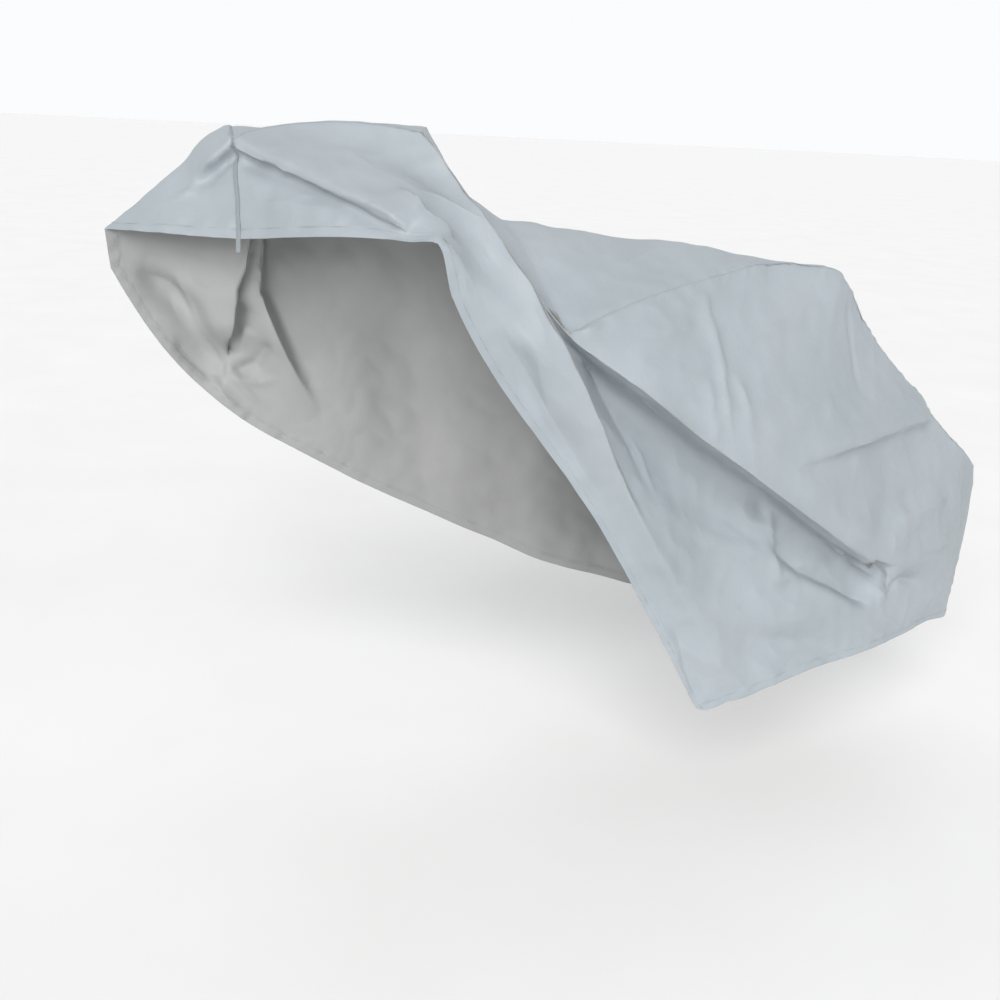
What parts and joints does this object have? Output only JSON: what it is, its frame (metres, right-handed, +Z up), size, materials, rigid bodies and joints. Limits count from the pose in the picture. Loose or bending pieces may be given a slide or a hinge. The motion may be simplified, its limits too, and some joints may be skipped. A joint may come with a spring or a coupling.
{
  "type": "bicycle cover",
  "caption": "Fitted rain cover of two coated polyester side panels, draped as in use with its front hem drawn back over the top.",
  "frame": {"origin": "the point under the top of the cover where the cloth is carried at the rear, 0.942 m above the ground in use", "axes": "+X towards the rear along the cover's length, +Y towards the far side, +Z up"},
  "size_m": [1.5877, 0.467, 0.9113],
  "materials": {
    "coated_cloth": "satin silver-grey coating on a fine plain weave, warmer grey on the inside",
    "binding_tape": "matt woven tape"
  },
  "bodies": {
    "root": {"far_panel": "coated_cloth", "near_panel": "coated_cloth", "seam_binding": "binding_tape"}
  },
  "joints": []
}
